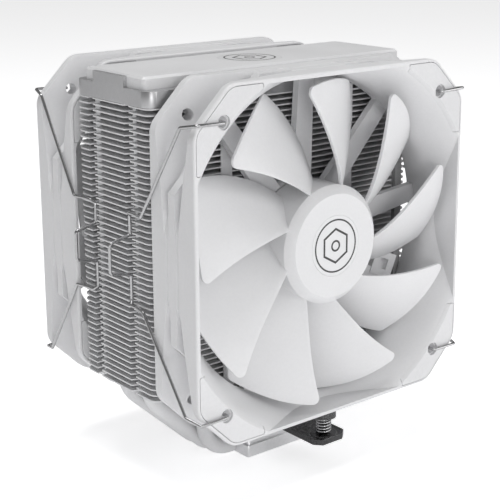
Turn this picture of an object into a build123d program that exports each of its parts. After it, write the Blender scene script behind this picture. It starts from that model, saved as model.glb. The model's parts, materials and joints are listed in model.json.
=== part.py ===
"""Twin-fan tower cooler for a computer processor.

Millimetres, +Z up. The origin is the centre of the contact face under the base,
the air flows along +Y, and X runs across the fins. Each separate piece of the
cooler is written to parts/ under its own name.
"""
from build123d import *
from math import cos, radians, sin, tan
import os

# Whole cooler
FAN_AXIS_Z = 90.0
OUTER_FACE_Y = 51.65
TOP_Z = 155.0

# Fan frames: 105 mm between hole centres, 26 mm deep
FAN_WIDTH = 130.6
FAN_DEPTH = 26.0
FAN_CORNER_CUT = 15.5
FAN_CORNER_R = 8.0
FAN_HOLE_HALF = 52.5
FAN_HOLE_R = 2.15
THROAT_R = 62.2
NECK_R = 66.4
NECK_NEAR = 9.6
NECK_FAR = 18.0
FLANGE_REACH = 84.5
FRONT_FLANGE = 2.0
REAR_FLANGE = 22.6
RIB_HALF_WIDTH = 65.6
RIB_NEAR = 11.4
RIB_FAR = 15.2
GROOVE_DEPTHS = (10.5, 16.6)
GROOVE_LENGTH = 26.0
GROOVE_CUT_R = 0.45
BELL_R = 72.0
BELL_LIP_R = 70.6
BELL_LIP_DEPTH = 1.2
BELL_DEPTH = 15.0
BELL_HALF_WIDTH = 63.7
RIM_R = 0.8
PAD_DEPTH = 1.2
PAD_GROOVE = 0.25
PAD_INSET = 1.3
PAD_END = 35.5
PAD_CORNER_R = 0.7
PAD_LIP_R = 70.0

# Impeller and stator vanes
BLADE_COUNT = 9
BLADE_TIP_R = 61.2
BLADE_TIP_ANGLE = 103.6
BLADE_ROOT_R = 22.0
BLADE_STRIP_ANGLE = 21.0
BLADE_CORNER_R = 2.2
HUB_R = 22.6
HUB_CHAMFER = 3.0
HUB_INNER_R = 20.15
HUB_FRONT = 1.5
HUB_END = 20.5
BADGE_R = 11.5
BADGE_DEPTH = 0.3
VANE_FIRST_ANGLE = 7.0
VANE_NEAR = 21.8
VANE_FAR = 24.8
CUP_R = 22.5
CUP_NEAR = 21.5
CUP_FLOOR = 24.6

# Motor
SHAFT_R = 1.5
BEARING_R = 3.0
TUBE_R = 4.2
TUBE_NEAR = 6.8
STATOR_R = 16.4
MAGNET_R = 19.1
FIT = 0.02

# Fins
FIN_COUNT = 50
FIN_PITCH = 2.2
FIN_THICK = 0.5
FIN_TOP_Z = 144.4
FIN_HALF_X = 64.0
FIN_HALF_Y = 23.75
FIN_CORNER_R = 3.5
NOTCH_DEPTH = 3.0
NOTCH_FRONT = (-11.65, -9.75, -8.35)
NOTCH_REAR = (11.95, 14.95)

# Heat pipes
PIPE_R = 3.0
PIPE_AXIS_Z = 2.3
PIPE_TOP_Z = 146.5
PIPE_HOLE_R = 3.05
OUTER_PIPE_Y = 9.9
OUTER_PIPE_X = 32.0
INNER_PIPE_Y = 3.3
INNER_LEG_X = 56.0
INNER_LEG_Y = 8.0
INNER_LEG_Z = 30.5
INNER_BEND_X = 25.85

# Base and mounting bar
BASE_HALF_X = 18.5
BASE_HALF_Y = 20.65
BASE_STEP_Z = 4.8
BASE_TOP_Z = 11.6
BASE_INSET = 0.8
BAR_HALF_X = 7.8
BAR_HALF_Y = 49.95
BAR_TOP_Z = 14.0
BAR_SCREW_Y = 8.0
SPRING_SCREW_Y = 44.35
SCREW_HOLE_R = 1.85
SCREW_R = 1.5
SHANK_R = 1.7
SCREW_TIP_Z = 9.3
SCREW_HEAD_Z = 20.6
SCREW_HEAD_TOP_Z = 24.0
SCREW_HEAD_R = 4.8
GROOVE_Z = 10.85
GROOVE_R = 1.2
E_CLIP_THICK = 0.6
SPRING_MEAN_R = 2.7
SPRING_WIRE_R = 0.35
SPRING_TURNS = 4.5

# Top cover
TRAY_BOTTOM_Z = 144.5
TRAY_TOP_Z = 150.4
TRAY_WALL = 1.5
CAP_HALF_X = 62.5
CAP_HALF_Y = 19.0
EMBLEM_R = 12.5
EMBLEM_DEPTH = 0.5

# Wire clips
WIRE_R = 0.6
WIRE_BEND_R = 1.1
WIRE_SIDE_X = 66.2
WIRE_SKIM_X = 64.95
WIRE_NOTCH_X = 63.6
WIRE_FACE_GAP = 0.9
HANDLE_X = 72.5


def slab(sketch, near, far):
    """Solid of a flat outline between two depths behind a fan's front plane."""
    return extrude(Pos(0, 0, -near) * sketch, amount=near - far)


def polar(radius, degrees):
    """Point at a radius and an angle, counter-clockwise from +X."""
    return (radius * cos(radians(degrees)), radius * sin(radians(degrees)))


def four_corners(half):
    """Centres of the four holes of a square pattern."""
    return GridLocations(2 * half, 2 * half, 2, 2)


def upright(sketch, low, high):
    """Solid of a flat outline between two heights."""
    return extrude(Pos(0, 0, low) * sketch, amount=high - low)


# ---- Fan frame --------------------------------------------------------------

def fan_outline(inset=0.0):
    square = Rectangle(FAN_WIDTH - 2 * inset, FAN_WIDTH - 2 * inset)
    octagon = chamfer(square.vertices(), FAN_CORNER_CUT - 0.6 * inset)
    return fillet(octagon.vertices(), FAN_CORNER_R - inset)


def bell_mouth():
    """Flare from the throat to the front plane, cut off square at the rims."""
    flare = ThreePointArc((BELL_LIP_R, -BELL_LIP_DEPTH), (65.7, -8.1), (THROAT_R, -BELL_DEPTH))
    lines = Polyline((THROAT_R, -BELL_DEPTH), (0, -BELL_DEPTH), (0, 1), (BELL_R, 1), (BELL_R, 0),
                     (BELL_LIP_R, -BELL_LIP_DEPTH))
    profile = Plane.XZ * make_face([flare, lines])
    limits = Box(2 * BELL_HALF_WIDTH, 2 * BELL_HALF_WIDTH, 4 * BELL_DEPTH)
    return (Rot(0, 0, 45) * revolve(profile, Axis.Z)) & limits


def waist():
    """Turned form that thins the frame between its two flanges."""
    front = ThreePointArc((FLANGE_REACH, -FRONT_FLANGE), (73.5, -6.0), (NECK_R, -NECK_NEAR))
    rear = ThreePointArc((NECK_R, -NECK_FAR), (72.5, -20.0), (FLANGE_REACH, -REAR_FLANGE))
    reach = FAN_WIDTH
    neck = Line((NECK_R, -NECK_NEAR), (NECK_R, -NECK_FAR))
    rest = Polyline((FLANGE_REACH, -REAR_FLANGE), (reach, -REAR_FLANGE), (reach, -FAN_DEPTH),
                    (0, -FAN_DEPTH), (0, 0), (reach, 0), (reach, -FRONT_FLANGE),
                    (FLANGE_REACH, -FRONT_FLANGE))
    turned = revolve(Plane.XZ * make_face([front, neck, rear, rest]), Axis.Z)
    return Rot(0, 0, 45) * turned


def middle_rib():
    """Plate round the neck, half way back, that gives it eight flat sides."""
    diamond = Rot(0, 0, 45) * Rectangle(2 * RIB_HALF_WIDTH, 2 * RIB_HALF_WIDTH)
    return slab(diamond, RIB_NEAR, RIB_FAR)


def side_grooves():
    """Two shallow upright grooves in the middle of each side, one each side of the rib."""
    grooves = Part()
    for depth in GROOVE_DEPTHS:
        cutter = Cylinder(GROOVE_CUT_R, GROOVE_LENGTH)
        groove = Pos(FAN_WIDTH / 2, 0, -depth) * Rot(90, 0, 0) * cutter
        grooves += [Rot(0, 0, turn) * groove for turn in (0, 90, 180, 270)]
    return grooves


def pad_outline(inner_r, grow=0.0):
    """Corner pads of one face, outside a circle of the inner radius, made larger by grow."""
    far = FAN_WIDTH
    corner = Pos(far / 2 + PAD_END - grow, far / 2 + PAD_END - grow) * Rectangle(far, far)
    pad = (fan_outline(PAD_INSET - grow) & corner) - Circle(inner_r - grow)
    near_ends = [point for point in pad.vertices() if min(point.X, point.Y) < PAD_END + 2]
    pad = fillet(near_ends, PAD_CORNER_R)
    return Sketch() + [Rot(0, 0, turn) * pad for turn in (0, 90, 180, 270)]


def stator_vane(angle):
    root, tip = CUP_R - 1, THROAT_R + 1
    blade = make_face(Polyline((root, -4.5), (tip, -3.6), (tip, 3.6), (root, 4.5), (root, -4.5)))
    return Rot(0, 0, angle) * slab(blade, VANE_NEAR, VANE_FAR)


def fan_frame():
    block = slab(fan_outline(), 0, FAN_DEPTH)
    faces = block.faces().filter_by(Axis.Z)
    rims = faces.sort_by(Axis.Z)[-1].edges() + faces.sort_by(Axis.Z)[0].edges()
    frame = (fillet(rims, RIM_R) & (waist() + middle_rib())) - side_grooves()
    frame -= slab(Circle(THROAT_R), -1, FAN_DEPTH + 1)
    frame -= bell_mouth()
    frame -= Pos(0, 0, -FAN_DEPTH) * Cone(THROAT_R + 1.6, THROAT_R, 4)
    frame -= slab(Sketch() + four_corners(FAN_HOLE_HALF) * Circle(FAN_HOLE_R), -1, FAN_DEPTH + 1)
    frame -= slab(pad_outline(PAD_LIP_R, PAD_GROOVE), 0, PAD_DEPTH)
    frame -= slab(pad_outline(BELL_R, PAD_GROOVE), FAN_DEPTH - PAD_DEPTH, FAN_DEPTH)
    step = 360 / BLADE_COUNT
    for index in range(BLADE_COUNT):
        frame += stator_vane(VANE_FIRST_ANGLE + step * index)
    frame += Pos(*polar(49.2, -24)) * Rot(0, 0, -24) * slab(Rectangle(12, 10), 21.4, VANE_FAR)
    frame -= Pos(*polar(49.2, -24)) * Rot(0, 0, -24) * slab(Rectangle(4.5, 4.5), 21.4, 23.4)
    frame += slab(Circle(CUP_R), CUP_NEAR, FAN_DEPTH)
    frame -= slab(Circle(CUP_R - 1.5), CUP_NEAR - 1, CUP_FLOOR)
    frame -= slab(Circle(CUP_R - 2), FAN_DEPTH - 0.3, FAN_DEPTH + 1)
    frame += slab(Circle(TUBE_R), TUBE_NEAR, CUP_FLOOR + 0.1)
    frame -= slab(Circle(BEARING_R + FIT), TUBE_NEAR - 1, CUP_FLOOR)
    return frame


def front_corner_pads():
    """Pads on the fan's front, whose inner edges carry on the bell mouth's lip."""
    holes = Sketch() + four_corners(FAN_HOLE_HALF) * Circle(FAN_HOLE_R + 0.5)
    return slab(pad_outline(PAD_LIP_R) - holes, 0, PAD_DEPTH) - bell_mouth()


def rear_corner_pads():
    holes = Sketch() + four_corners(FAN_HOLE_HALF) * Circle(FAN_HOLE_R + 0.5)
    return slab(pad_outline(BELL_R) - holes, FAN_DEPTH - PAD_DEPTH, FAN_DEPTH)


# ---- Impeller ---------------------------------------------------------------

def blade_section(radius):
    """Cambered strip across a blade, square to the radial line at this radius."""
    share = (radius - BLADE_ROOT_R) / (BLADE_TIP_R - BLADE_ROOT_R)
    sweep_angle = 61.2 + 34.6 * share - 8.8 * share**2
    middle_depth = 11.0 + 0.6 * share
    rise = BLADE_STRIP_ANGLE * (0.42 + 0.11 * share)
    arch = 1.4 + 3.6 * share
    thick = 1.8 - 0.6 * share
    half = radius * tan(radians(BLADE_STRIP_ANGLE))
    lead = middle_depth - rise
    trail = middle_depth + rise
    crown = middle_depth - arch
    front = ThreePointArc((half, -lead), (0, -crown), (-half, -trail))
    back = ThreePointArc((-half, -trail - thick), (0, -crown - thick), (half, -lead - thick))
    ends = [Line(front @ 1, back @ 0), Line(back @ 1, front @ 0)]
    radial = (cos(radians(sweep_angle)), sin(radians(sweep_angle)), 0)
    along = (-sin(radians(sweep_angle)), cos(radians(sweep_angle)), 0)
    plane = Plane(origin=(radius * radial[0], radius * radial[1], 0), x_dir=along, z_dir=radial)
    return plane * make_face([front, ends[0], back, ends[1]])


def blade_outline():
    """Forward-swept blade seen from the front, with rounded tip corners."""
    root = BLADE_ROOT_R - 1
    middle = (BLADE_ROOT_R + BLADE_TIP_R) / 2
    lead = [polar(root, 74.8), polar(middle, 94.1), polar(BLADE_TIP_R, BLADE_TIP_ANGLE)]
    trail = [polar(BLADE_TIP_R, 70.5), polar(middle, 58.6), polar(root, 46.5)]
    edges = [ThreePointArc(*lead), ThreePointArc(*trail)]
    edges.append(ThreePointArc(lead[2], polar(BLADE_TIP_R, 86), trail[0]))
    edges.append(ThreePointArc(trail[2], polar(root, 60), lead[0]))
    outline = make_face(edges)
    tips = [corner for corner in outline.vertices() if Vector(*corner).length > HUB_R + 5]
    return fillet(tips, BLADE_CORNER_R)


def impeller():
    dome = slab(Circle(HUB_R), HUB_FRONT, HUB_END)
    front_edge = dome.edges().filter_by(GeomType.CIRCLE).sort_by(Axis.Z)[-1]
    hub = chamfer(front_edge, HUB_CHAMFER)
    hub -= slab(Circle(HUB_INNER_R), HUB_FRONT + 2, HUB_END + 1)
    hub -= slab(Circle(BADGE_R + 0.1), 0, HUB_FRONT + BADGE_DEPTH)
    hub += slab(Circle(3.4), HUB_FRONT + 1.9, TUBE_NEAR - 0.8)
    hub -= slab(Circle(SHAFT_R), HUB_FRONT + 1.2, TUBE_NEAR)
    sections = [blade_section(radius) for radius in (16, 29, 42, 54, 66)]
    blade = loft(sections) & slab(blade_outline(), 0, FAN_DEPTH)
    step = 360 / BLADE_COUNT
    return hub + [Rot(0, 0, step * index) * blade for index in range(BLADE_COUNT)]


def hub_badge():
    return slab(Circle(BADGE_R), HUB_FRONT, HUB_FRONT + BADGE_DEPTH)


# ---- Motor ------------------------------------------------------------------

def rotor_yoke():
    outer = HUB_INNER_R - FIT
    cup = slab(Circle(outer), HUB_FRONT + 2.1, HUB_END - 1)
    return cup - slab(Circle(outer - 0.9), HUB_FRONT + 2.9, HUB_END) - slab(Circle(3.6), 0, 9)


def rotor_magnet():
    return slab(Circle(MAGNET_R) - Circle(MAGNET_R - 1.9), 7, 19)


def shaft():
    body = slab(Circle(SHAFT_R), HUB_FRONT + 1.2, 24.2)
    return body - slab(Circle(SHAFT_R) - Circle(SHAFT_R - 0.3), 23.4, 23.9)


def retaining_ring():
    ring = Circle(2.6) - Circle(SHAFT_R - 0.3)
    return slab(ring - Pos(2, 0) * Rectangle(3, 1.2), 23.42, 23.88)


def bearing_sleeve():
    return slab(Circle(BEARING_R) - Circle(SHAFT_R + FIT), TUBE_NEAR + 0.2, 23.2)


def stator_core():
    core = Circle(6.4) - Circle(TUBE_R + FIT)
    for turn in (45, 135, 225, 315):
        core += Rot(0, 0, turn) * Pos(9.5, 0) * Rectangle(9, 3.6)
        shoe = Circle(STATOR_R) - Circle(STATOR_R - 2.6)
        wedge = make_face(Polyline((0, 0), polar(30, 35), polar(30, -35), (0, 0)))
        core += Rot(0, 0, turn) * (shoe & wedge)
    return slab(core, 9.5, 17.5)


def stator_coils():
    coil = Rectangle(5.2, 8) - Rectangle(6, 3.8)
    winding = slab(coil, 9.4, 17.6)
    winding += slab(Rectangle(5.2, 8), 8.2, 9.4) + slab(Rectangle(5.2, 8), 17.6, 18.8)
    return Part() + [Rot(0, 0, turn) * Pos(10.6, 0, 0) * winding for turn in (45, 135, 225, 315)]


def motor_board():
    return slab(Circle(CUP_R - 3) - Circle(TUBE_R + 0.3), 22.4, 23.6)


def rear_label():
    return slab(Circle(CUP_R - 2.2), FAN_DEPTH - 0.3, FAN_DEPTH - 0.05)


# ---- Fins, pipes and base ---------------------------------------------------

def fin_plate():
    plate = RectangleRounded(2 * FIN_HALF_X, 2 * FIN_HALF_Y, FIN_CORNER_R)
    floor = FIN_HALF_X - NOTCH_DEPTH
    for side in (-1, 1):
        wall, slope, mouth = NOTCH_FRONT
        edge = side * (FIN_HALF_X + 1)
        front = Polyline((edge, wall), (side * floor, wall), (side * floor, slope),
                         (side * FIN_HALF_X, mouth), (edge, mouth), (edge, wall))
        plate -= make_face(front)
        rear_middle = sum(NOTCH_REAR) / 2
        rear_width = NOTCH_REAR[1] - NOTCH_REAR[0]
        plate -= Pos(side * (floor + 3), rear_middle) * Rectangle(6, rear_width)
        for row in (-1, 1):
            plate -= Pos(side * OUTER_PIPE_X, row * OUTER_PIPE_Y) * Circle(PIPE_HOLE_R)
            plate -= Pos(side * INNER_LEG_X, row * INNER_LEG_Y) * Circle(PIPE_HOLE_R)
    return extrude(plate, amount=-FIN_THICK)


def fin_tabs():
    """Folded tabs that hold each fin at its distance from the next one."""
    drop = FIN_PITCH - FIN_THICK
    middle = -FIN_THICK - drop / 2
    floor = FIN_HALF_X - NOTCH_DEPTH - FIN_THICK / 2
    front_width = NOTCH_FRONT[1] - NOTCH_FRONT[0]
    rear_width = NOTCH_REAR[1] - NOTCH_REAR[0]
    tabs = Part()
    for side in (-1, 1):
        front_y = NOTCH_FRONT[0] + front_width / 2
        rear_y = NOTCH_REAR[0] + rear_width / 2
        tabs += Pos(side * floor, front_y, middle) * Box(FIN_THICK, front_width, drop)
        tabs += Pos(side * floor, rear_y, middle) * Box(FIN_THICK, rear_width, drop)
        for row in (-1, 1):
            edge_y = row * (FIN_HALF_Y - FIN_THICK / 2)
            tabs += Pos(side * 30, edge_y, middle) * Box(5, FIN_THICK, drop)
    return tabs


def fin_stack():
    fin = (fin_plate() + fin_tabs()).solid()
    heights = [FIN_TOP_Z - FIN_PITCH * index for index in range(FIN_COUNT)]
    return Compound([Pos(0, 0, height) * fin for height in heights])


def heat_pipes():
    pipes = []
    for row in (-1, 1):
        outer = [(-OUTER_PIPE_X, row * OUTER_PIPE_Y, PIPE_TOP_Z)]
        outer.append((-OUTER_PIPE_X, row * OUTER_PIPE_Y, PIPE_AXIS_Z))
        outer += [(-x, y, z) for x, y, z in reversed(outer)]
        inner = [(-INNER_LEG_X, row * INNER_LEG_Y, PIPE_TOP_Z)]
        inner.append((-INNER_LEG_X, row * INNER_LEG_Y, INNER_LEG_Z))
        inner.append((-INNER_BEND_X, row * INNER_PIPE_Y, PIPE_AXIS_Z))
        inner += [(-x, y, z) for x, y, z in reversed(inner)]
        for points, bend in ((outer, 12), (inner, 14)):
            path = FilletPolyline(*points, radius=bend)
            section = Plane(origin=path @ 0, z_dir=path % 0) * Circle(PIPE_R)
            pipe = sweep(section, path=path)
            pipes.append((pipe - Pos(0, 0, -10) * Box(200, 60, 20)).solid())
    return Compound(pipes)


def pipe_grooves(radius):
    rows = (-OUTER_PIPE_Y, -INNER_PIPE_Y, INNER_PIPE_Y, OUTER_PIPE_Y)
    rod = Rot(0, 90, 0) * Cylinder(radius, 3 * BASE_HALF_X)
    return Part() + [Pos(0, row, PIPE_AXIS_Z) * rod for row in rows]


def base_block():
    lower = upright(RectangleRounded(2 * BASE_HALF_X, 2 * BASE_HALF_Y, 1), 0, BASE_STEP_Z)
    upper_x = 2 * (BASE_HALF_X - BASE_INSET)
    upper_y = 2 * (BASE_HALF_Y - BASE_INSET)
    upper = upright(RectangleRounded(upper_x, upper_y, 1), BASE_STEP_Z, BASE_TOP_Z)
    block = lower + upper - pipe_grooves(PIPE_HOLE_R)
    return block - upright(Sketch() + bar_screw_places() * Circle(SCREW_R), 6, 15)


def bar_screw_places():
    return Locations((0, -BAR_SCREW_Y), (0, BAR_SCREW_Y))


def mounting_bar():
    outline = Rectangle(2 * BAR_HALF_X, 2 * BAR_HALF_Y)
    outline = chamfer(outline.vertices(), 3, 2.6)
    rim_outline = offset(outline, -0.9)
    bar = upright(outline, BASE_TOP_Z, BAR_TOP_Z - 0.4)
    rims = upright(outline - rim_outline, BAR_TOP_Z - 0.5, BAR_TOP_Z)
    seats = upright(Sketch() + spring_screw_places() * Circle(5.2), BAR_TOP_Z - 0.5, BAR_TOP_Z)
    middle = upright(Rectangle(2 * BAR_HALF_X, 2 * BASE_HALF_Y), BAR_TOP_Z - 0.5, BAR_TOP_Z)
    bar += rims + seats + middle
    bar -= upright(Sketch() + spring_screw_places() * Circle(SCREW_HOLE_R), 0, 20)
    return bar - upright(Sketch() + bar_screw_places() * Circle(SCREW_R + FIT), 0, 20)


def spring_screw_places():
    return Locations((0, -SPRING_SCREW_Y), (0, SPRING_SCREW_Y))


def bar_screws():
    screw = upright(Circle(SCREW_R - FIT), 7, BAR_TOP_Z) + upright(Circle(2.75), BAR_TOP_Z, 15.8)
    slots = Box(3.4, 0.9, 2) + Box(0.9, 3.4, 2)
    screw -= Pos(0, 0, 15.8) * slots
    return Compound([Pos(0, row * BAR_SCREW_Y, 0) * screw.solid() for row in (-1, 1)])


def spring_screw(row):
    screw = upright(Circle(SCREW_R), SCREW_TIP_Z, GROOVE_Z)
    screw += upright(Circle(SHANK_R), GROOVE_Z, SCREW_HEAD_Z)
    groove = Circle(SHANK_R + 0.1) - Circle(GROOVE_R)
    screw -= upright(groove, GROOVE_Z, GROOVE_Z + E_CLIP_THICK + 2 * FIT)
    head = Circle(SCREW_HEAD_R)
    head -= PolarLocations(SCREW_HEAD_R, 28) * Circle(0.3)
    screw += upright(head, SCREW_HEAD_Z, SCREW_HEAD_TOP_Z)
    screw -= Pos(0, 0, SCREW_HEAD_TOP_Z) * (Box(5.2, 1.1, 3) + Box(1.1, 5.2, 3))
    return Pos(0, row * SPRING_SCREW_Y, 0) * screw


def screw_spring(row):
    length = SCREW_HEAD_Z - BAR_TOP_Z - 2 * SPRING_WIRE_R - 0.1
    path = Helix(pitch=length / SPRING_TURNS, height=length, radius=SPRING_MEAN_R)
    section = Plane(origin=path @ 0, z_dir=path % 0) * Circle(SPRING_WIRE_R)
    coil = sweep(section, path=path, is_frenet=True)
    return Pos(0, row * SPRING_SCREW_Y, BAR_TOP_Z + SPRING_WIRE_R + 0.05) * coil


def e_clip(row):
    ring = Circle(2.9) - Circle(GROOVE_R + FIT) - Pos(3, 0) * Rectangle(6, 1.8)
    low = GROOVE_Z + FIT
    return Pos(0, row * SPRING_SCREW_Y, 0) * upright(ring, low, low + E_CLIP_THICK)


# ---- Top cover --------------------------------------------------------------

def cover_screw_places():
    return Sketch() + GridLocations(90, 24, 2, 2) * Circle(1.25)


def cover_tray():
    outline = RectangleRounded(2 * FIN_HALF_X, 2 * FIN_HALF_Y, 4)
    tray = upright(outline, TRAY_BOTTOM_Z, TRAY_TOP_Z)
    tray -= upright(offset(outline, -TRAY_WALL), TRAY_BOTTOM_Z, TRAY_TOP_Z - TRAY_WALL)
    for side in (-1, 1):
        thick = FIN_HALF_X - CAP_HALF_X
        middle_x = side * (FIN_HALF_X - thick / 2)
        tray += Pos(middle_x, 1.3, TRAY_TOP_Z + 2) * Box(thick, 20, 4.2)
    return tray - upright(cover_screw_places(), TRAY_BOTTOM_Z, TRAY_TOP_Z)


def cover_cap():
    outline = RectangleRounded(2 * CAP_HALF_X, 2 * CAP_HALF_Y, 1.5)
    block = upright(outline, TRAY_TOP_Z, TOP_Z)
    cap = chamfer(block.edges().group_by(Axis.Z)[-1], 0.9)
    cap -= upright(offset(outline, -1.6), TRAY_TOP_Z, TOP_Z - 1.8)
    cap += upright(Sketch() + GridLocations(90, 24, 2, 2) * Circle(2.8), TRAY_TOP_Z, TOP_Z - 1.7)
    cap -= upright(Circle(EMBLEM_R + 0.1), TOP_Z - EMBLEM_DEPTH, TOP_Z + 1)
    return cap - upright(cover_screw_places(), TRAY_TOP_Z - 1, TRAY_TOP_Z + 2.6)


def cover_emblem():
    return upright(Circle(EMBLEM_R), TOP_Z - EMBLEM_DEPTH, TOP_Z)


def cover_screws():
    seat = TRAY_TOP_Z - TRAY_WALL
    screw = upright(Circle(1.2), seat, TRAY_TOP_Z + 2.4) + upright(Circle(2.3), seat - 1.4, seat)
    return Compound([place * screw.solid() for place in GridLocations(90, 24, 2, 2).locations])


def spacer_strips(row):
    """Rubber strips between the fins and a fan, on both sides."""
    gap = OUTER_FACE_Y - FAN_DEPTH - FIN_HALF_Y
    middle_y = row * (FIN_HALF_Y + gap / 2)
    strips = [Pos(side * 57, middle_y, FAN_AXIS_Z) * Box(3.5, gap, 84) for side in (-1, 1)]
    return Compound([strip.solid() for strip in strips])


# ---- Wire clips -------------------------------------------------------------

def clip_half(row):
    """Left clip's points above the fan's centre, from the hole to the notch."""
    face = row * (OUTER_FACE_Y + WIRE_FACE_GAP)
    hole = (-FAN_HOLE_HALF, row * (OUTER_FACE_Y - 2), FAN_HOLE_HALF)
    notch_y = -9.8 if row < 0 else 13.1
    entry_y = notch_y + row * 1.5
    points = [hole, (-FAN_HOLE_HALF, face, FAN_HOLE_HALF), (-FIN_HALF_X - 0.5, face, 52.8)]
    points.append((-WIRE_SIDE_X, row * 45.6, 51.5))
    points.append((-WIRE_SIDE_X, row * (abs(notch_y) + 11), 15.8))
    points.append((-WIRE_SKIM_X, entry_y + row * 3.2, 15.8))
    points.append((-WIRE_SKIM_X, entry_y, 15.8))
    points.append((-WIRE_NOTCH_X, notch_y, 14.4))
    return points


def wire_clip(row, side):
    """Spring wire from the two holes of a fan's side to the notches in the fins."""
    top = clip_half(row)
    notch_y = top[-1][1]
    handle = [(-WIRE_NOTCH_X, notch_y, 7.0), (-HANDLE_X, notch_y, 5.0)]
    handle += [(-HANDLE_X, notch_y, -6.0), (-WIRE_NOTCH_X, notch_y, -8.0)]
    bottom = [(x, y, -z - 3.4 if abs(z) < 20 else -z) for x, y, z in reversed(top)]
    path = FilletPolyline(*(top + handle + bottom), radius=WIRE_BEND_R)
    section = Plane(origin=path @ 0, z_dir=path % 0) * Circle(WIRE_R)
    wire = Pos(0, 0, FAN_AXIS_Z) * sweep(section, path=path)
    return wire if side < 0 else mirror(wire, Plane.YZ)


# ---- Writing the parts ------------------------------------------------------

def fan_parts():
    """Every piece of one fan, in the fan's own frame."""
    return {
        "frame": fan_frame(),
        "front_pads": front_corner_pads(),
        "rear_pads": rear_corner_pads(),
        "impeller": impeller(),
        "hub_badge": hub_badge(),
        "rotor_yoke": rotor_yoke(),
        "rotor_magnet": rotor_magnet(),
        "shaft": shaft(),
        "retaining_ring": retaining_ring(),
        "bearing_sleeve": bearing_sleeve(),
        "stator_core": stator_core(),
        "stator_coils": stator_coils(),
        "motor_board": motor_board(),
        "rear_label": rear_label(),
    }


def cooler_parts():
    parts = {
        "fin_stack": fin_stack(),
        "heat_pipes": heat_pipes(),
        "base_block": base_block(),
        "mounting_bar": mounting_bar(),
        "bar_screws": bar_screws(),
        "cover_tray": cover_tray(),
        "cover_cap": cover_cap(),
        "cover_emblem": cover_emblem(),
        "cover_screws": cover_screws(),
    }
    for row, place in ((-1, "front"), (1, "rear")):
        parts[f"spring_screw_{place}"] = spring_screw(row)
        parts[f"screw_spring_{place}"] = screw_spring(row)
        parts[f"e_clip_{place}"] = e_clip(row)
        parts[f"spacer_strips_{place}"] = spacer_strips(row)
        for side, hand in ((-1, "left"), (1, "right")):
            parts[f"wire_clip_{place}_{hand}"] = wire_clip(row, side)
    fan = fan_parts()
    for place, front_y in (("front", -OUTER_FACE_Y), ("rear", OUTER_FACE_Y - FAN_DEPTH)):
        plane = Plane(origin=(0, front_y, FAN_AXIS_Z), x_dir=(1, 0, 0), z_dir=(0, -1, 0))
        for name, piece in fan.items():
            parts[f"{place}_fan_{name}"] = plane.location * piece
    return parts


def main():
    os.makedirs("parts", exist_ok=True)
    for name, piece in cooler_parts().items():
        export_step(piece, f"parts/{name}.step")


main()
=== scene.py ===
# %% [markdown]
# # A tower cooler for a processor
# The cooler is a stack of thin white fins on bent heat pipes, with a square fan on each side, wire clips,
# a silver tray with a white cap on top, and a dark mounting bar over the base.
# Its shapes come from the imported frame. This script gives every piece its finish, adds the printed marks and
# two coil springs, and sets up the stage, the lights and the camera.

# %% Load the frame
import bpy
import bmesh
import json
import math
from mathutils import Matrix, Vector


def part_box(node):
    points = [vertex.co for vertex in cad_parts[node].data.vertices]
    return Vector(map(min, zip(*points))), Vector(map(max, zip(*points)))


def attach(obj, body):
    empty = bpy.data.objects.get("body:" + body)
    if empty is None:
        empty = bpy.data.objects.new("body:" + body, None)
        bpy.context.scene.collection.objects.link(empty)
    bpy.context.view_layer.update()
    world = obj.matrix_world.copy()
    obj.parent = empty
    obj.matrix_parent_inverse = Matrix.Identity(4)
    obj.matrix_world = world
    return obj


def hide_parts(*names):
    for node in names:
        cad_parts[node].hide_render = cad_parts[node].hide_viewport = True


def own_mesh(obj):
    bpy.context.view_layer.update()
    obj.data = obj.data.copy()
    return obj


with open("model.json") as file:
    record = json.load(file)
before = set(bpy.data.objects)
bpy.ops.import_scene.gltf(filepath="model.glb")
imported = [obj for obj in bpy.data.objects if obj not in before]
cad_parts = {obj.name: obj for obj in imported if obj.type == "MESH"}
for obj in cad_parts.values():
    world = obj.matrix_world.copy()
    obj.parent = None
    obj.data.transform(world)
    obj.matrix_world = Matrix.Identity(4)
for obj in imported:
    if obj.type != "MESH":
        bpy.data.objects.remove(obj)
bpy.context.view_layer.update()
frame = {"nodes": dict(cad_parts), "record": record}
NODES = frame["nodes"]
MM = 0.001
PLACES = ("front", "rear")

# %% [markdown]
# ## Node helpers
# A material is a small graph. Writing each one by hand takes many lines, so short helpers add a node with its
# settings, start a group and place a noise. Group sockets are made with `interface.new_socket`, so that each
# shared effect has named inputs and outputs, as a tool in a workshop has named dials.


# %% Helpers for node graphs
def add_node(tree, kind, settings=None, values=None):
    """A node of one kind, with its settings and the values of its input sockets."""
    node = tree.nodes.new(kind)
    for name, value in (settings or {}).items():
        setattr(node, name, value)
    for name, value in (values or {}).items():
        node.inputs[name].default_value = value
    return node


def new_group(name, inputs, outputs):
    """A shader node group, its inputs as (name, socket type, default), its outputs as (name, socket type)."""
    group = bpy.data.node_groups.new(name, "ShaderNodeTree")
    for label, kind, default in inputs:
        socket = group.interface.new_socket(label, in_out="INPUT", socket_type=kind)
        socket.default_value = default
    for label, kind in outputs:
        group.interface.new_socket(label, in_out="OUTPUT", socket_type=kind)
    return group, group.nodes.new("NodeGroupInput"), group.nodes.new("NodeGroupOutput")


def noise(tree, scale_from, detail=3.0, roughness=0.55):
    """Noise in the object's own coordinates, with its scale taken from a socket."""
    place = add_node(tree, "ShaderNodeTexCoord")
    texture = add_node(tree, "ShaderNodeTexNoise", values={"Detail": detail, "Roughness": roughness})
    tree.links.new(place.outputs["Object"], texture.inputs["Vector"])
    tree.links.new(scale_from, texture.inputs["Scale"])
    return texture


print("helpers ready")

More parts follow.
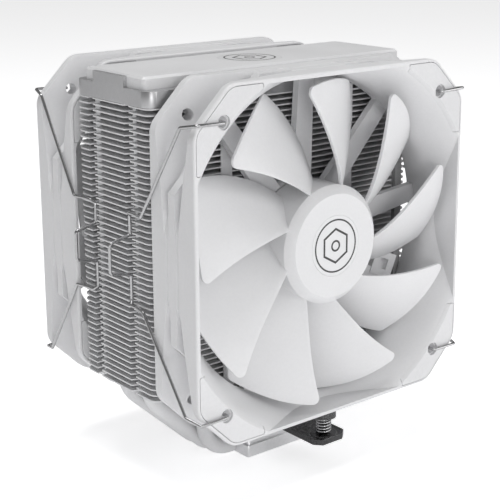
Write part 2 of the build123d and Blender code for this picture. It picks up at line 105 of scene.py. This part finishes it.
# %% [markdown]
# ## Tone
# No moulding or coating has one exact colour: it drifts a little from place to place, and fine specks sit in
# it. The group mixes a light and a dark tone by two noises of different size. A painted image could do this
# too, but noise in the object's own coordinates needs no unwrapping and moves with the piece.


# %% Group: tone
SPECK_SHARE = 0.35
DRIFT_SHARE = 0.65


def make_tone_group():
    group, source, result = new_group(
        "tone",
        [("Light", "NodeSocketColor", (0.9, 0.9, 0.9, 1)), ("Dark", "NodeSocketColor", (0.8, 0.8, 0.8, 1)),
         ("Drift Scale", "NodeSocketFloat", 30.0), ("Speck Scale", "NodeSocketFloat", 900.0)],
        [("Color", "NodeSocketColor"), ("Mask", "NodeSocketFloat")])
    drift = noise(group, source.outputs["Drift Scale"])
    speck = noise(group, source.outputs["Speck Scale"], detail=2.0)
    share = add_node(group, "ShaderNodeMath", {"operation": "MULTIPLY_ADD"}, {1: SPECK_SHARE})
    group.links.new(speck.outputs["Fac"], share.inputs[0])
    scaled = add_node(group, "ShaderNodeMath", {"operation": "MULTIPLY"}, {1: DRIFT_SHARE})
    group.links.new(drift.outputs["Fac"], scaled.inputs[0])
    group.links.new(scaled.outputs[0], share.inputs[2])
    spread = add_node(group, "ShaderNodeMapRange", values={"From Min": 0.35, "From Max": 0.65})
    group.links.new(share.outputs[0], spread.inputs["Value"])
    mix = add_node(group, "ShaderNodeMix", {"data_type": "RGBA"})
    group.links.new(spread.outputs["Result"], mix.inputs["Factor"])
    group.links.new(source.outputs["Dark"], mix.inputs[6])
    group.links.new(source.outputs["Light"], mix.inputs[7])
    group.links.new(mix.outputs[2], result.inputs["Color"])
    group.links.new(spread.outputs["Result"], result.inputs["Mask"])
    return group


TONE = make_tone_group()
print("tone outputs", [item.name for item in TONE.interface.items_tree if item.in_out == "OUTPUT"])

# %% [markdown]
# ## Grain
# Spark-eroded moulds leave a fine orange-peel texture, and sprayed coatings dry with a similar one. Two
# noises, one fine and one broad, give its height. The group hands out a height only: the Bump node stays in
# the material.


# %% Group: grain
def make_grain_group():
    group, source, result = new_group(
        "grain",
        [("Fine Scale", "NodeSocketFloat", 2600.0), ("Broad Scale", "NodeSocketFloat", 260.0),
         ("Broad Share", "NodeSocketFloat", 0.4)],
        [("Height", "NodeSocketFloat")])
    fine = noise(group, source.outputs["Fine Scale"], detail=2.0)
    broad = noise(group, source.outputs["Broad Scale"], detail=1.0)
    mix = add_node(group, "ShaderNodeMix", {"data_type": "FLOAT"})
    group.links.new(source.outputs["Broad Share"], mix.inputs["Factor"])
    group.links.new(fine.outputs["Fac"], mix.inputs[2])
    group.links.new(broad.outputs["Fac"], mix.inputs[3])
    group.links.new(mix.outputs[0], result.inputs["Height"])
    return group


GRAIN = make_grain_group()
print("grain inputs", [item.name for item in GRAIN.interface.items_tree if item.in_out == "INPUT"])

# %% [markdown]
# ## Painted edge highlight
# The corners of the white coating and of the black nickel are painted a shade lighter: a painted highlight
# where light would catch the edges. A Bevel node returns the normal of a slightly rounded surface. Where it
# differs from the real normal there is an edge, so the dot product of the two makes a mask. Pointiness would
# be cheaper, but it needs evenly meshed surfaces, which turned parts lack.


# %% Group: painted edge highlight
def make_edge_group():
    group, source, result = new_group(
        "painted edge highlight",
        [("Radius", "NodeSocketFloat", 0.0004), ("Break Scale", "NodeSocketFloat", 400.0)],
        [("Edge", "NodeSocketFloat")])
    bevel = add_node(group, "ShaderNodeBevel", {"samples": 4})
    group.links.new(source.outputs["Radius"], bevel.inputs["Radius"])
    real = add_node(group, "ShaderNodeNewGeometry")
    dot = add_node(group, "ShaderNodeVectorMath", {"operation": "DOT_PRODUCT"})
    group.links.new(bevel.outputs["Normal"], dot.inputs[0])
    group.links.new(real.outputs["Normal"], dot.inputs[1])
    edge = add_node(group, "ShaderNodeMapRange",
                    values={"From Min": 0.995, "From Max": 0.85, "To Min": 0.0, "To Max": 1.0})
    group.links.new(dot.outputs["Value"], edge.inputs["Value"])
    broken = noise(group, source.outputs["Break Scale"])
    product = add_node(group, "ShaderNodeMath", {"operation": "MULTIPLY", "use_clamp": True})
    group.links.new(edge.outputs["Result"], product.inputs[0])
    group.links.new(broken.outputs["Fac"], product.inputs[1])
    group.links.new(product.outputs[0], result.inputs["Edge"])
    return group


EDGE = make_edge_group()
print("painted edge highlight made")

# %% [markdown]
# ## Brushing
# Rolled, milled or brushed metal carries fine parallel lines. A noise stretched along one axis makes them.
# The group turns it into a height and into a mask that varies the roughness from line to line.


# %% Group: brushing
def make_brush_group():
    group, source, result = new_group(
        "brushing",
        [("Stretch", "NodeSocketVector", (1.0, 40.0, 40.0)), ("Scale", "NodeSocketFloat", 60.0)],
        [("Height", "NodeSocketFloat"), ("Mask", "NodeSocketFloat")])
    place = add_node(group, "ShaderNodeTexCoord")
    stretched = add_node(group, "ShaderNodeVectorMath", {"operation": "MULTIPLY"})
    group.links.new(place.outputs["Object"], stretched.inputs[0])
    group.links.new(source.outputs["Stretch"], stretched.inputs[1])
    lines = add_node(group, "ShaderNodeTexNoise", values={"Detail": 4.0})
    group.links.new(stretched.outputs[0], lines.inputs["Vector"])
    group.links.new(source.outputs["Scale"], lines.inputs["Scale"])
    mask = add_node(group, "ShaderNodeMapRange", values={"From Min": 0.3, "From Max": 0.7})
    group.links.new(lines.outputs["Fac"], mask.inputs["Value"])
    group.links.new(lines.outputs["Fac"], result.inputs["Height"])
    group.links.new(mask.outputs["Result"], result.inputs["Mask"])
    return group


BRUSH = make_brush_group()
print("brushing made")

# %% [markdown]
# ## Finishes
# Every finish starts the same way: tone for the colour, a mask that varies the roughness, and a height for
# the bump. Brushed and milled metals and the wound wire take their height from brushing, the rest from grain.
# Numbers that are the same all over a piece, such as metallic, are set on the shader itself.


# %% Build a finish
RELIEF_HEIGHT = 0.0001


def place_group(tree, group, values=None):
    return add_node(tree, "ShaderNodeGroup", {"node_tree": group}, values)


def finish(name, light, dark, rough, metallic=0.0, grain=None, brush=None, bump=0.1, edge_highlight=None, coat=0.0,
           drift=30.0, speck=900.0):
    """A material: tone, roughness between two values, bump from grain or brushing, and a painted highlight on
    the edges.
    """
    material = bpy.data.materials.new(name)
    material.use_nodes = True
    tree = material.node_tree
    shader = tree.nodes["Principled BSDF"]
    shader.inputs["Metallic"].default_value = metallic
    shader.inputs["Coat Weight"].default_value = coat
    tone = place_group(tree, TONE, {"Light": (*light, 1), "Dark": (*dark, 1),
                                    "Drift Scale": drift, "Speck Scale": speck})
    colour = tone.outputs["Color"]
    # The edge colour mixed in here is a painted highlight: corners turn a lighter grey where light would catch
    # them.
    if edge_highlight:
        edge = place_group(tree, EDGE, {"Radius": edge_highlight[1]})
        highlit = add_node(tree, "ShaderNodeMix", {"data_type": "RGBA"})
        highlit.inputs[7].default_value = (*edge_highlight[0], 1)
        tree.links.new(edge.outputs["Edge"], highlit.inputs["Factor"])
        tree.links.new(colour, highlit.inputs[6])
        colour = highlit.outputs[2]
    tree.links.new(colour, shader.inputs["Base Color"])
    source = place_group(tree, BRUSH, brush) if brush else place_group(tree, GRAIN, grain)
    mask = source.outputs["Mask"] if brush else tone.outputs["Mask"]
    spread = add_node(tree, "ShaderNodeMapRange", values={"To Min": rough[0], "To Max": rough[1]})
    tree.links.new(mask, spread.inputs["Value"])
    tree.links.new(spread.outputs["Result"], shader.inputs["Roughness"])
    relief = add_node(tree, "ShaderNodeBump", values={"Strength": bump, "Distance": RELIEF_HEIGHT})
    tree.links.new(source.outputs["Height"], relief.inputs["Height"])
    tree.links.new(relief.outputs["Normal"], shader.inputs["Normal"])
    return material


COOL_CAST = 1.012


def grey(value):
    """A grey with a slight cool cast."""
    return value, value, value * COOL_CAST


FINISHES = {
    "fan_white": finish("fan moulding", grey(0.80), grey(0.76), (0.38, 0.5), bump=0.12, coat=0.05),
    "blade_white": finish("blade moulding", grey(0.82), grey(0.78), (0.36, 0.46), bump=0.08, coat=0.05),
    "pad_rubber": finish("corner pad", grey(0.80), grey(0.74), (0.55, 0.7), bump=0.25),
    # The lighter edge grey on the white coating is a painted highlight.
    "white_coating": finish("white coating", grey(0.76), grey(0.70), (0.4, 0.55), bump=0.15,
                            grain={"Fine Scale": 1800.0}, edge_highlight=(grey(0.9), 0.0003)),
    "base_metal": finish("milled base", grey(0.86), grey(0.78), (0.3, 0.45), metallic=1.0, bump=0.1,
                         brush={"Stretch": (1.0, 60.0, 60.0), "Scale": 40.0}),
    # The lighter edge grey on the black nickel is a painted highlight.
    "dark_metal": finish("black nickel", grey(0.10), grey(0.06), (0.22, 0.34), metallic=1.0, bump=0.08,
                         edge_highlight=(grey(0.45), 0.0004)),
    "steel": finish("bright steel", grey(0.56), grey(0.44), (0.1, 0.2), metallic=1.0, bump=0.05,
                    brush={"Stretch": (30.0, 30.0, 2.0), "Scale": 60.0}),
    "silver_cover": finish("satin tray", grey(0.56), grey(0.5), (0.36, 0.42), metallic=1.0, bump=0.006,
                           brush={"Stretch": (0.5, 30.0, 30.0), "Scale": 40.0}),
    "cap_white": finish("cap coating", grey(0.80), grey(0.76), (0.34, 0.46), bump=0.1),
    "emblem": finish("emblem disc", grey(0.78), grey(0.72), (0.3, 0.4), bump=0.08),
    "badge": finish("hub disc", grey(0.84), grey(0.80), (0.3, 0.4), bump=0.06),
    "bearing_brass": finish("sintered bronze", (0.62, 0.42, 0.20), (0.5, 0.33, 0.16), (0.35, 0.5),
                            metallic=1.0, bump=0.3),
    "magnet": finish("bonded magnet", grey(0.07), grey(0.04), (0.6, 0.75), bump=0.3),
    "copper": finish("enamelled wire", (0.65, 0.28, 0.12), (0.5, 0.2, 0.08), (0.2, 0.35), metallic=1.0,
                     brush={"Stretch": (2.0, 90.0, 2.0), "Scale": 60.0}, bump=0.6),
    "board": finish("circuit board", (0.03, 0.16, 0.07), (0.02, 0.11, 0.05), (0.3, 0.45), bump=0.15),
    "strip_rubber": finish("spacer rubber", grey(0.35), grey(0.28), (0.6, 0.75), bump=0.3),
}
INK = finish("printed ink", grey(0.06), grey(0.045), (0.35, 0.5), bump=0.05)
print("finishes", len(FINISHES) + 1)

# %% [markdown]
# ## Dress the frame's nodes
# The frame's meshes are kept. Their corners are split, one vertex for each face around it, so a Weld modifier
# joins them first. A narrow Bevel rounds the sharp edges that a mould or a press would never leave sharp. The
# thin fins and the small parts get no bevel: it wouldn't show, and it costs many faces.


# %% Materials and modifiers on the nodes
WELD_GAP = 0.000002
SHARP_ANGLE = math.radians(38)


def dress(name, slot, bevel=0.0):
    node = NODES[name]
    node.data.materials.clear()
    node.data.materials.append(FINISHES[slot])
    for polygon in node.data.polygons:
        polygon.material_index = 0
    weld = node.modifiers.new("weld", "WELD")
    weld.merge_threshold = WELD_GAP
    if bevel:
        rounding = node.modifiers.new("rounding", "BEVEL")
        rounding.width = bevel
        rounding.segments = 2
        rounding.limit_method = "ANGLE"
        rounding.angle_limit = SHARP_ANGLE


BEVELS = {"frame": 0.0003, "impeller": 0.0004, "pads": 0.00015, "cover_tray": 0.0003, "cover_cap": 0.0004,
          "mounting_bar": 0.00025, "base_block": 0.0002, "spring_screw_front": 0.00015,
          "spring_screw_rear": 0.00015}
for subpart in frame["record"]["subparts"]:
    name = subpart["node"]
    width = next((size for key, size in BEVELS.items() if name.endswith(key)), 0.0)
    dress(name, subpart["material_slot"], width)

# %% [markdown]
# ## Printed marks
# The hubs and the cap carry a plain mark: a ring round a hexagon. On the real thing such a mark is printed or
# inlaid a few hundredths of a millimetre thick. It is built as thin closed rings, so that it stays in the
# exported meshes, where a painted pattern would be lost.

# %% Marks on the hubs and the cap
MARK_THICK = 0.00006


def ring_mesh(loops, thick):
    """Closed flat rings with the given (outer, inner, corners) and thickness, in the XY plane."""
    shape = bmesh.new()
    for outer, inner, corners in loops:
        rows = []
        for height in (0.0, thick):
            for radius in (outer, inner):
                turns = [2 * math.pi * (index + 0.5) / corners for index in range(corners)]
                spots = [(radius * math.cos(turn), radius * math.sin(turn), height) for turn in turns]
                rows.append([shape.verts.new(spot) for spot in spots])
        low_outer, low_inner, high_outer, high_inner = rows
        for index in range(corners):
            after = (index + 1) % corners
            for first, second in ((low_outer, high_outer), (high_outer, high_inner),
                                  (high_inner, low_inner), (low_inner, low_outer)):
                shape.faces.new((first[index], first[after], second[after], second[index]))
    bmesh.ops.recalc_face_normals(shape, faces=shape.faces)
    return shape


def add_piece(name, shape, material, body, place):
    """A new object from this shape, put in its place, with a finish and the body that it rides on."""
    mesh = bpy.data.meshes.new(name)
    shape.to_mesh(mesh)
    shape.free()
    mesh.transform(place)
    mesh.materials.append(material)
    piece = bpy.data.objects.new(name, mesh)
    bpy.context.scene.collection.objects.link(piece)
    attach(piece, body)
    return piece


MARK_LOOPS = [(10.2 * MM, 9.6 * MM, 96), (6.9 * MM, 6.0 * MM, 6), (2.2 * MM, 1.5 * MM, 48)]
for place in PLACES:
    low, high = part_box(f"{place}_fan_hub_badge")
    centre = Vector(((low.x + high.x) / 2, low.y, (low.z + high.z) / 2))
    facing = Matrix.Translation(centre) @ Matrix.Rotation(math.radians(90), 4, "X")
    add_piece(f"{place}_hub_mark", ring_mesh(MARK_LOOPS, MARK_THICK), INK, f"{place}_rotor", facing)
low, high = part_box("cover_emblem")
top = Matrix.Translation(((low.x + high.x) / 2, (low.y + high.y) / 2, high.z - MARK_THICK / 2))
add_piece("cover_mark", ring_mesh(MARK_LOOPS, MARK_THICK), INK, "cooler", top)
print("marks made")

# %% [markdown]
# ## Coil springs
# Each mounting screw carries a coil spring, which shortens when the screw is pressed down. The coil is built
# here, as a ring of points carried along a helix. Its end turns rise less steeply than the rest, as a spring's
# do.

# %% Coils on the spring screws
SPRING_TURNS = 5.0
END_TURNS = 0.8
WIRE_R = 0.42 * MM
WIRE_SIDES = 10
STEPS_PER_TURN = 40
END_PITCH = 2.2 * WIRE_R


def coil_mesh(radius, height, wire):
    """A closed wire along a helix of this mean radius, from the plane Z = 0 up to the height."""
    shape = bmesh.new()
    steps = int(SPRING_TURNS * STEPS_PER_TURN)
    rise = height - 2 * wire
    flat_rise = END_PITCH * END_TURNS
    rings = []
    for step in range(steps + 1):
        turn = step / STEPS_PER_TURN
        left = SPRING_TURNS - turn
        if turn < END_TURNS:
            z = flat_rise * turn / END_TURNS
        elif left < END_TURNS:
            z = rise - flat_rise * left / END_TURNS
        else:
            share = (turn - END_TURNS) / (SPRING_TURNS - 2 * END_TURNS)
            z = flat_rise + (rise - 2 * flat_rise) * share
        angle = 2 * math.pi * turn
        ring = []
        for side in range(WIRE_SIDES):
            around = 2 * math.pi * side / WIRE_SIDES
            reach = radius + wire * math.cos(around)
            height_here = z + wire + wire * math.sin(around)
            ring.append(shape.verts.new((reach * math.cos(angle), reach * math.sin(angle), height_here)))
        rings.append(ring)
    for low_ring, high_ring in zip(rings, rings[1:]):
        for side in range(WIRE_SIDES):
            after = (side + 1) % WIRE_SIDES
            face = shape.faces.new((low_ring[side], low_ring[after], high_ring[after], high_ring[side]))
            face.smooth = True
    shape.faces.new(rings[0])
    shape.faces.new(rings[-1])
    bmesh.ops.recalc_face_normals(shape, faces=shape.faces)
    return shape


for place in PLACES:
    low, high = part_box(f"screw_spring_{place}")
    height = high.z - low.z
    mean_radius = (high.x - low.x) / 2 - WIRE_R
    foot = Vector(((low.x + high.x) / 2, (low.y + high.y) / 2, low.z))
    wound = coil_mesh(mean_radius, height, WIRE_R)
    coil = add_piece(f"{place}_coil_spring", wound, FINISHES["steel"], "cooler",
                     Matrix.Translation(foot))
    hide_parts(f"screw_spring_{place}")
    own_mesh(coil)
    print(place, "coil", round(height / MM, 2), "mm high, mean radius", round(mean_radius / MM, 2), "mm")

# %% [markdown]
# ## Stage, light and camera
# The cooler stands on a pale floor that runs off into a pale surround, as in a product studio. Four soft
# lights model it: one high in front, one low on the right, a strong one overhead and a small one near the
# lens. The floor and the surround glow more for the camera than for the cooler, which Light Path tells apart.
# So they look nearly white and still don't wash out the shading.


# %% Stage and lights
def soft_light(name, place, target, size, power):
    """A round area light at this place that points at the target."""
    data = bpy.data.lights.new(name, "AREA")
    data.shape = "DISK"
    data.size = size
    data.energy = power
    light = bpy.data.objects.new(name, data)
    light.location = place
    aim = Vector(target) - Vector(place)
    light.rotation_mode = "QUATERNION"
    light.rotation_quaternion = aim.to_track_quat("-Z", "Y")
    bpy.context.scene.collection.objects.link(light)


FLOOR_HALF = 8.0
floor_mesh = bpy.data.meshes.new("floor")
corners = [(-FLOOR_HALF, -FLOOR_HALF, 0), (FLOOR_HALF, -FLOOR_HALF, 0), (FLOOR_HALF, FLOOR_HALF, 0),
           (-FLOOR_HALF, FLOOR_HALF, 0)]
floor_mesh.from_pydata(corners, [], [(0, 1, 2, 3)])
floor_paint = finish("pale floor", grey(0.9), grey(0.89), (0.75, 0.85), bump=0.01, drift=2.0, speck=60.0)
floor_tree = floor_paint.node_tree
floor_shader = floor_tree.nodes["Principled BSDF"]
floor_shader.inputs["Specular IOR Level"].default_value = 0.1
floor_shader.inputs["Emission Color"].default_value = (1, 1, 1, 1)
FLOOR_GLOW = 0.26
FLOOR_SEEN_GLOW = 0.6
floor_path = add_node(floor_tree, "ShaderNodeLightPath")
glow = add_node(floor_tree, "ShaderNodeMapRange", values={"To Min": FLOOR_GLOW, "To Max": FLOOR_SEEN_GLOW})
floor_tree.links.new(floor_path.outputs["Is Camera Ray"], glow.inputs["Value"])
floor_tree.links.new(glow.outputs["Result"], floor_shader.inputs["Emission Strength"])
floor_mesh.materials.append(floor_paint)
floor = bpy.data.objects.new("floor", floor_mesh)
bpy.context.scene.collection.objects.link(floor)

AMBIENT = 0.22
BACKDROP = 0.97
world = bpy.data.worlds.new("surround")
world.use_nodes = True
surround = world.node_tree
sky = surround.nodes["Background"]
sky.inputs["Color"].default_value = (1, 1, 1, 1)
seen = add_node(surround, "ShaderNodeLightPath")
strength = add_node(surround, "ShaderNodeMapRange", values={"To Min": AMBIENT, "To Max": BACKDROP})
surround.links.new(seen.outputs["Is Camera Ray"], strength.inputs["Value"])
surround.links.new(strength.outputs["Result"], sky.inputs["Strength"])
bpy.context.scene.world = world

MIDDLE = (0.0, 0.0, 0.08)
soft_light("front softbox", (0.30, -1.15, 0.70), MIDDLE, 0.7, 3.3)
soft_light("right softbox", (1.0, -0.95, 0.30), MIDDLE, 0.7, 2.4)
soft_light("top softbox", (-0.1, 0.1, 1.3), MIDDLE, 0.8, 9.0)
soft_light("lens light", (-0.55, -1.05, 0.16), MIDDLE, 0.4, 2.3)
bpy.context.scene.view_settings.view_transform = "Standard"

# %% [markdown]
# ## Camera
# The lens is long and sits a little to the left of the cooler and above it. The camera's place is a point,
# and its direction is given as plain angles. The small lens shift keeps the upright edges closer to upright,
# as a view camera does.

# %% Camera
CAMERA_PLACE = Vector((-0.3045, -0.3794, 0.2169))
AZIMUTH = math.radians(-39.37)
ELEVATION = math.radians(13.73)
ROLL = math.radians(-0.19)
FOCAL_LENGTH = 90.64
SHIFT_ACROSS = -0.0272
SHIFT_UP = -0.1
lens = bpy.data.cameras.new("camera")
lens.lens = FOCAL_LENGTH
lens.sensor_width = 36.0
lens.shift_x = SHIFT_ACROSS
lens.shift_y = SHIFT_UP
lens.clip_start = 0.01
camera = bpy.data.objects.new("camera", lens)
back = Vector((math.sin(AZIMUTH) * math.cos(ELEVATION), -math.cos(AZIMUTH) * math.cos(ELEVATION),
               math.sin(ELEVATION)))
right = Vector((0, 0, 1)).cross(back).normalized()
upward = back.cross(right)
level = Matrix((right, upward, back)).transposed().to_4x4()
camera.matrix_world = Matrix.Translation(CAMERA_PLACE) @ level @ Matrix.Rotation(ROLL, 4, "Z")
bpy.context.scene.collection.objects.link(camera)
bpy.context.scene.camera = camera
print("camera at", [round(v, 4) for v in CAMERA_PLACE])
